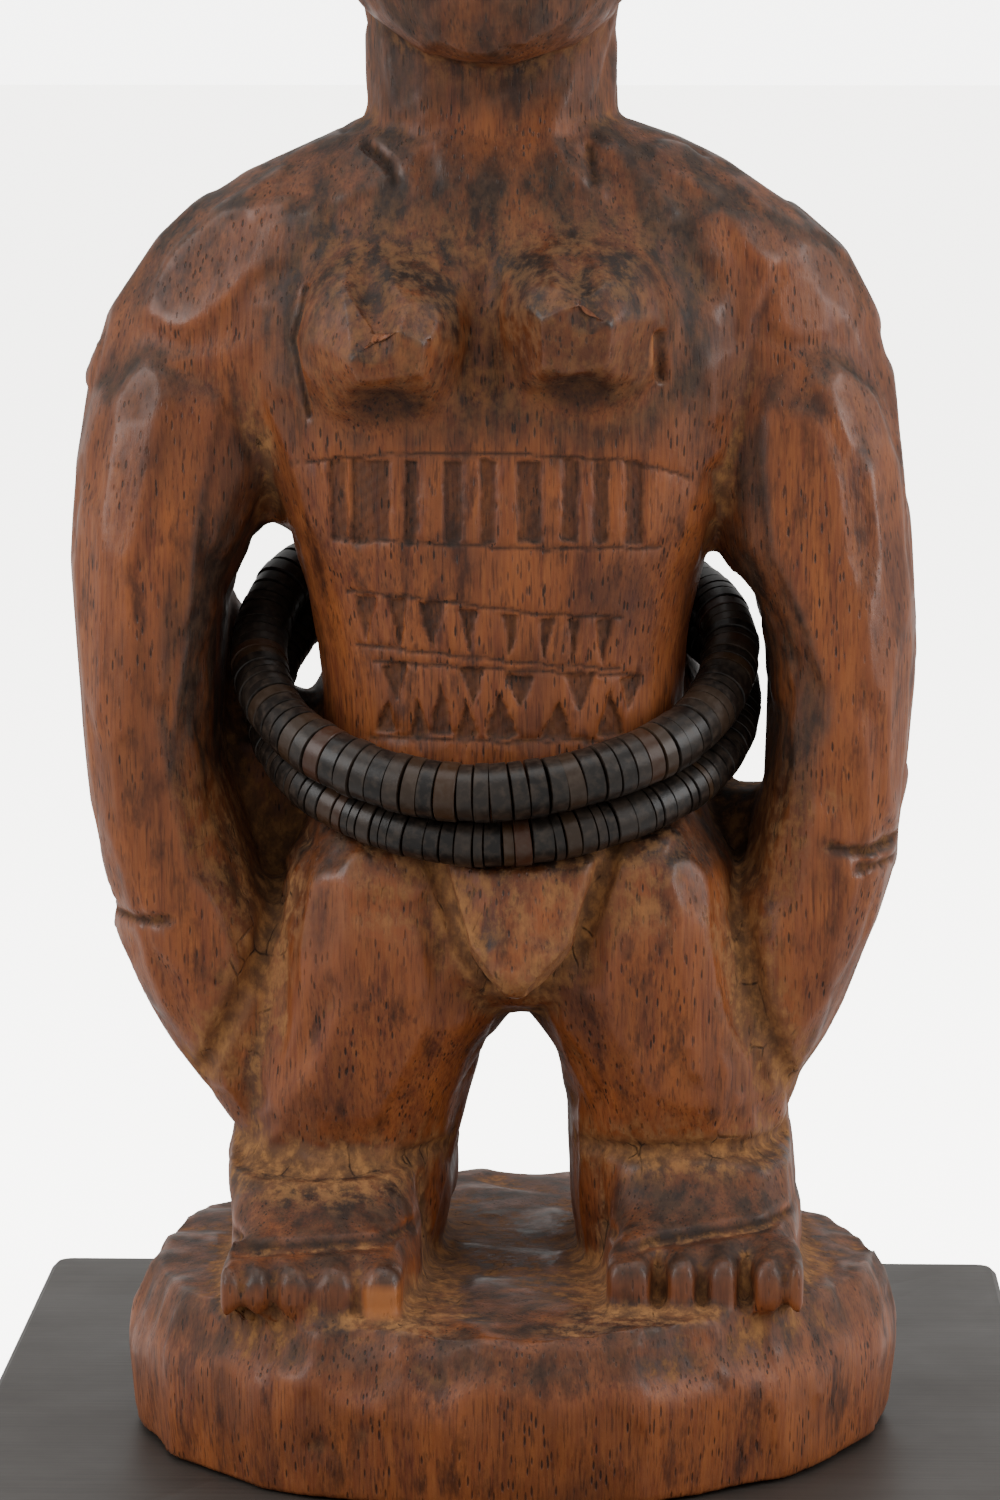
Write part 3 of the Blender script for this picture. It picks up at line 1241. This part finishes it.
# %% [markdown]
# ## Plinth, pads and screws
# The plinth is a planed block of close-grained wood, stained black and waxed, with its edges
# just broken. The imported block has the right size, so it is copied, its corners are joined and
# a small bevel softens every edge. The pads and screws are finished in the same way.

# %% Softened copies
def softened(node, name, width, segments):
    made = merged_copy(node, name)
    bevel = made.modifiers.new("soft", "BEVEL")
    bevel.width = width * MM
    bevel.segments = segments
    bevel.limit_method = "ANGLE"
    bevel.angle_limit = math.radians(25)
    bevel.use_clamp_overlap = True
    applied(made, name)
    made.data.shade_smooth()
    made.data.set_sharp_from_angle(angle=math.radians(40))
    return made


# %% Stained wood material
def stained_material():
    material, tree, skin = new_material("close_grained_wood_stained_black")
    place = add(tree, "ShaderNodeTexCoord").outputs["Object"]
    # The grain runs across the plinth's width: lines 0.6 mm apart, tens of millimetres long.
    along = add(tree, "ShaderNodeMapping",
                {"Vector": place, "Scale": (1000 / 40, 1000 / 0.9, 1000 / 0.9)})
    grain = add(tree, "ShaderNodeTexNoise",
                {"Vector": along.outputs["Vector"], "Scale": 1.0, "Detail": 4.0, "Roughness": 0.6})
    rub = add(tree, "ShaderNodeTexNoise",
              {"Vector": place, "Scale": 28.0, "Detail": 5.0, "Roughness": 0.6})
    colour = add(tree, "ShaderNodeMix", {
        "Factor": grain.outputs["Fac"], "A": linear("#2e2b28"), "B": linear("#514b46"),
    }, data_type="RGBA")
    tree.links.new(colour.outputs["Result"], skin.inputs["Base Color"])
    rough = add(tree, "ShaderNodeMapRange", {
        "Value": rub.outputs["Fac"], "From Min": 0.3, "From Max": 0.7,
        "To Min": 0.40, "To Max": 0.52,
    })
    tree.links.new(rough.outputs["Result"], skin.inputs["Roughness"])
    bump = add(tree, "ShaderNodeBump",
               {"Strength": 0.4, "Distance": 0.0001, "Height": grain.outputs["Fac"]})
    tree.links.new(bump.outputs["Normal"], skin.inputs["Normal"])
    skin.inputs["IOR"].default_value = 1.5
    return material


# %% Steel and felt materials
def steel_material():
    material, tree, skin = new_material("zinc_plated_steel_turned")
    place = add(tree, "ShaderNodeTexCoord").outputs["Object"]
    spangle = add(tree, "ShaderNodeTexNoise",
                  {"Vector": place, "Scale": 900.0, "Detail": 3.0, "Roughness": 0.6})
    colour = add(tree, "ShaderNodeMix", {
        "Factor": spangle.outputs["Fac"], "A": linear("#9a9a96"), "B": linear("#c9c8c2"),
    }, data_type="RGBA")
    tree.links.new(colour.outputs["Result"], skin.inputs["Base Color"])
    rough = add(tree, "ShaderNodeMapRange",
                {"Value": spangle.outputs["Fac"], "To Min": 0.25, "To Max": 0.5})
    tree.links.new(rough.outputs["Result"], skin.inputs["Roughness"])
    skin.inputs["Metallic"].default_value = 1.0
    return material


def felt_material():
    material, tree, skin = new_material("wool_felt_pressed")
    place = add(tree, "ShaderNodeTexCoord").outputs["Object"]
    fuzz = add(tree, "ShaderNodeTexNoise",
               {"Vector": place, "Scale": 1800.0, "Detail": 5.0, "Roughness": 0.75})
    colour = add(tree, "ShaderNodeMix", {
        "Factor": fuzz.outputs["Fac"], "A": linear("#1f2422"), "B": linear("#47504c"),
    }, data_type="RGBA")
    tree.links.new(colour.outputs["Result"], skin.inputs["Base Color"])
    bump = add(tree, "ShaderNodeBump",
               {"Strength": 0.9, "Distance": 0.0004, "Height": fuzz.outputs["Fac"]})
    tree.links.new(bump.outputs["Normal"], skin.inputs["Normal"])
    skin.inputs["Roughness"].default_value = 0.95
    skin.inputs["Sheen Weight"].default_value = 0.3
    return material


# %% Finish the fixed pieces
finishes = {"stained_wood": stained_material(), "screw_steel": steel_material(),
            "felt": felt_material()}
fixed = [("plinth", "display_plinth", "stained_wood", 0.5, 3)]
fixed += [(f"mount_screw_{end}", f"wood_screw_{end}", "screw_steel", 0.15, 2)
          for end in ("front", "back")]
fixed += [(f"felt_pad_{end}_{side}", f"felt_disc_{end}_{side}", "felt", 0.35, 2)
          for end in ("front", "back") for side in ("left", "right")]
for node, name, slot_name, width, segments in fixed:
    made = softened(node, name, width, segments)
    made.data.materials.append(finishes[slot_name])
    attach(made, "figure_on_plinth")
    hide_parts(node)
print("fixed pieces:", [row[1] for row in fixed])

# %% [markdown]
# ## Floor and light
# The object stands in a white tent: a pale floor, a bright sky behind and above, and a darker
# side where the camera stands, which keeps the beads dark in front. Large soft lamps at both
# sides and overhead draw the ridges of the carving.

# %% Floor
floor_mesh = bpy.data.meshes.new("studio_floor")
floor_mesh.from_pydata([(-14, -14, 0), (14, -14, 0), (14, 14, 0), (-14, 14, 0)], [], [(0, 1, 2, 3)])
floor = piece("studio_floor", floor_mesh)
paper = bpy.data.materials.new("white_background_paper")
paper.use_nodes = True
paper_tree = paper.node_tree
# The paper is lit some eight times as strongly as the doll, so that it comes out white.
# Its own colour carries that, and it sends no light back to the doll.
lit_paper = add(paper_tree, "ShaderNodeBsdfDiffuse", {"Color": (8.2, 8.1, 7.9, 1.0)})
paper_tree.links.new(
    lit_paper.outputs[0], paper_tree.nodes["Material Output"].inputs["Surface"])
floor.data.materials.append(paper)
floor.visible_diffuse = False
floor.visible_glossy = False


# %% Sky and lamps
def studio_sky(front, rear, seen):
    """Light from all round, and how bright the sky looks where it is seen directly."""
    world = bpy.data.worlds.new("white_tent")
    scene.world = world
    world.use_nodes = True
    tree = world.node_tree
    toward = add(tree, "ShaderNodeSeparateXYZ",
                 {"Vector": add(tree, "ShaderNodeTexCoord").outputs["Generated"]})
    level = add(tree, "ShaderNodeMapRange", {
        "Value": toward.outputs["Y"], "From Min": -0.7, "From Max": 0.5,
        "To Min": front, "To Max": rear,
    }, interpolation_type="SMOOTHSTEP")
    bright = add(tree, "ShaderNodeMath", {
        0: add(tree, "ShaderNodeLightPath").outputs["Is Camera Ray"],
        1: seen, 2: level.outputs["Result"],
    }, operation="MULTIPLY_ADD")
    tree.nodes["Background"].inputs["Color"].default_value = linear("#fdfcfa")
    tree.links.new(bright.outputs[0], tree.nodes["Background"].inputs["Strength"])


def soft_lamp(name, place, size, power, aim=(0, 0, 0.18)):
    lamp = bpy.data.lights.new(name, "AREA")
    lamp.shape = "RECTANGLE"
    lamp.size, lamp.size_y = size
    lamp.energy = power
    made = bpy.data.objects.new(name, lamp)
    scene.collection.objects.link(made)
    made.location = place
    made.rotation_euler = (Vector(aim) - Vector(place)).to_track_quat("-Z", "Y").to_euler()
    return made


studio_sky(front=0.5, rear=0.75, seen=5.4)
soft_lamp("left_tent_side", (-1.0, -0.55, 0.75), (0.6, 0.8), 5.5)
soft_lamp("right_tent_side", (1.1, -0.35, 0.6), (0.5, 0.8), 5)
soft_lamp("overhead", (0.0, -0.25, 1.3), (0.8, 0.8), 2.6)
